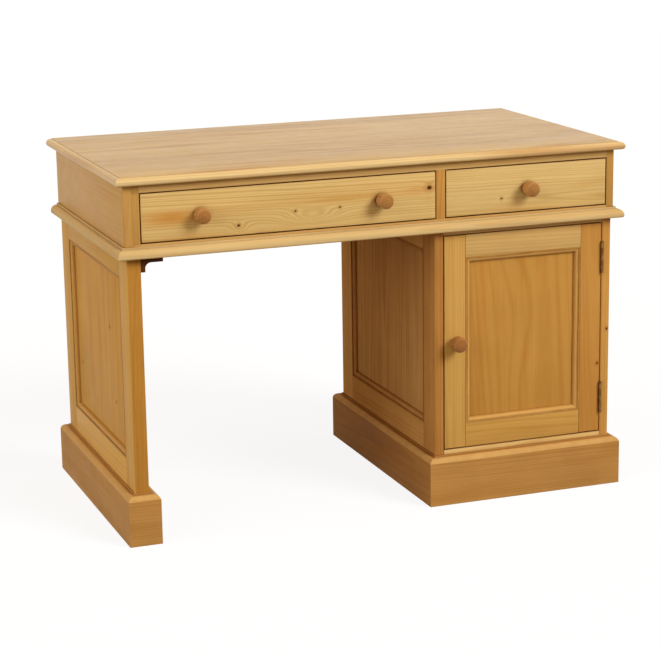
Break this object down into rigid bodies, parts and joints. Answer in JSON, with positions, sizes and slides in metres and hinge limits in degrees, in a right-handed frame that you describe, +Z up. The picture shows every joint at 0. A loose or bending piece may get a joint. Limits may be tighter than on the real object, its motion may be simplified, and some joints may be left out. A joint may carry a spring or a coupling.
{
  "type": "kneehole desk",
  "caption": "Pine kneehole desk with a moulded top, frieze drawers with turned knobs, a panelled leg and a panelled cupboard with an inset door.",
  "frame": {"origin": "on the floor under the middle of the desk's box", "axes": "+X to the right along the front, towards the cupboard; +Y from the front to the back; +Z up"},
  "size_m": [1.141, 0.632, 0.775],
  "materials": {
    "top_pine": "waxed pine, worn and slightly bleached",
    "frame_pine": "waxed pine",
    "drawer_pine": "waxed pine with cathedral figure and knots",
    "panel_pine": "waxed pine",
    "moulding_pine": "waxed pine moulding",
    "plinth_pine": "waxed pine",
    "knob_pine": "turned and waxed pine",
    "inside_pine": "bare pine",
    "dark_wood": "dark stained wood",
    "hinge_brass": "aged dark brass",
    "screw_steel": "dull steel"
  },
  "bodies": {
    "desk_frame": {"carcass_back": "inside_pine", "carcass_left_end": "frame_pine", "carcass_right_end": "frame_pine", "corner_brackets": "dark_wood", "cupboard_back": "inside_pine", "cupboard_floor": "inside_pine", "cupboard_left_moulding": "moulding_pine", "cupboard_left_panel": "panel_pine", "cupboard_left_rails": "frame_pine", "cupboard_left_stiles": "frame_pine", "cupboard_plinth_ends": "plinth_pine", "cupboard_plinth_sides": "plinth_pine", "cupboard_right_moulding": "moulding_pine", "cupboard_right_panel": "panel_pine", "cupboard_right_rails": "frame_pine", "cupboard_right_stiles": "frame_pine", "cupboard_shelf": "inside_pine", "cupboard_top": "inside_pine", "desk_top": "top_pine", "door_stop": "inside_pine", "drawer_kickers": "inside_pine", "drawer_partition": "frame_pine", "drawer_runners": "inside_pine", "frieze_bottom_rail": "frame_pine", "frieze_left_stile": "frame_pine", "frieze_top_rail": "frame_pine", "hinge_frame_leaves": "hinge_brass", "hinge_frame_screws": "screw_steel", "hinge_pins": "hinge_brass", "leg_inner_moulding": "moulding_pine", "leg_outer_moulding": "moulding_pine", "leg_panel": "panel_pine", "leg_plinth_ends": "plinth_pine", "leg_plinth_sides": "plinth_pine", "leg_rails": "frame_pine", "leg_stiles": "frame_pine", "shelf_pegs": "inside_pine", "waist_moulding_front": "moulding_pine", "waist_moulding_left": "moulding_pine", "waist_moulding_right": "moulding_pine"},
    "left_drawer": {"left_drawer_back": "inside_pine", "left_drawer_bottom": "inside_pine", "left_drawer_front": "drawer_pine", "left_drawer_knobs": "knob_pine", "left_drawer_sides": "inside_pine"},
    "right_drawer": {"right_drawer_back": "inside_pine", "right_drawer_bottom": "inside_pine", "right_drawer_front": "drawer_pine", "right_drawer_knobs": "knob_pine", "right_drawer_sides": "inside_pine"},
    "door": {"door_bottom_rail": "frame_pine", "door_hinge_stile": "frame_pine", "door_knob": "knob_pine", "door_lock_stile": "frame_pine", "door_moulding": "moulding_pine", "door_panel": "panel_pine", "door_top_rail": "frame_pine", "hinge_door_leaves": "hinge_brass", "hinge_door_screws": "screw_steel"}
  },
  "joints": [
    {"name": "left_drawer_slide", "type": "slide", "parent": "desk_frame", "child": "left_drawer", "axis": [0, -1, 0], "range_m": [0, 0.4]},
    {"name": "right_drawer_slide", "type": "slide", "parent": "desk_frame", "child": "right_drawer", "axis": [0, -1, 0], "range_m": [0, 0.4]},
    {"name": "door_hinge", "type": "hinge", "parent": "desk_frame", "child": "door", "pos_m": [0.5273, -0.2775, 0.3585], "axis": [0, 0, 1], "range_deg": [0, 170]}
  ]
}
